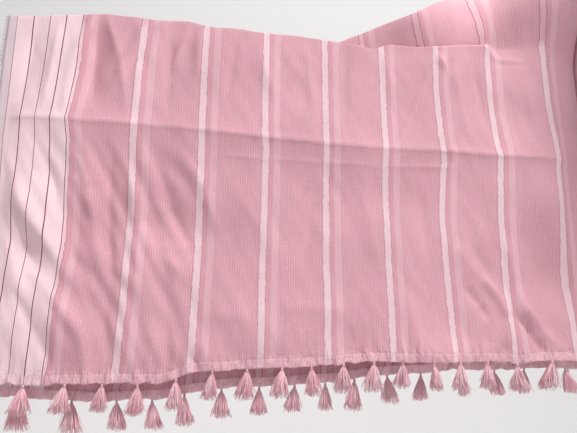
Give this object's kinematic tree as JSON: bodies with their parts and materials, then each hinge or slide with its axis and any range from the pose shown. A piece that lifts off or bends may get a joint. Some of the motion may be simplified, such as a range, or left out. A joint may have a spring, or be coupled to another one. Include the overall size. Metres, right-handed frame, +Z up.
{
  "type": "chador of a mekhela chador",
  "caption": "Pale pink striped chador doubled over a top fold, held up by its corner, with thread tassels along both hems and the far stretch held in pleats",
  "frame": {"origin": "where the hand holds the left corner of the top fold", "axes": "+X along the cloth from the held corner to the pleats, -Y the way the front layer faces, +Z up"},
  "size_m": [1.1298, 0.165, 0.6684],
  "materials": {
    "cloth": "satin",
    "tassel_thread": "matte"
  },
  "bodies": {
    "root": {"spread_fall": "cloth", "pleated_fall": "cloth", "front_tassels": "tassel_thread", "back_tassels": "tassel_thread", "pleat_tassels_front": "tassel_thread", "pleat_tassels_back": "tassel_thread"}
  },
  "joints": []
}
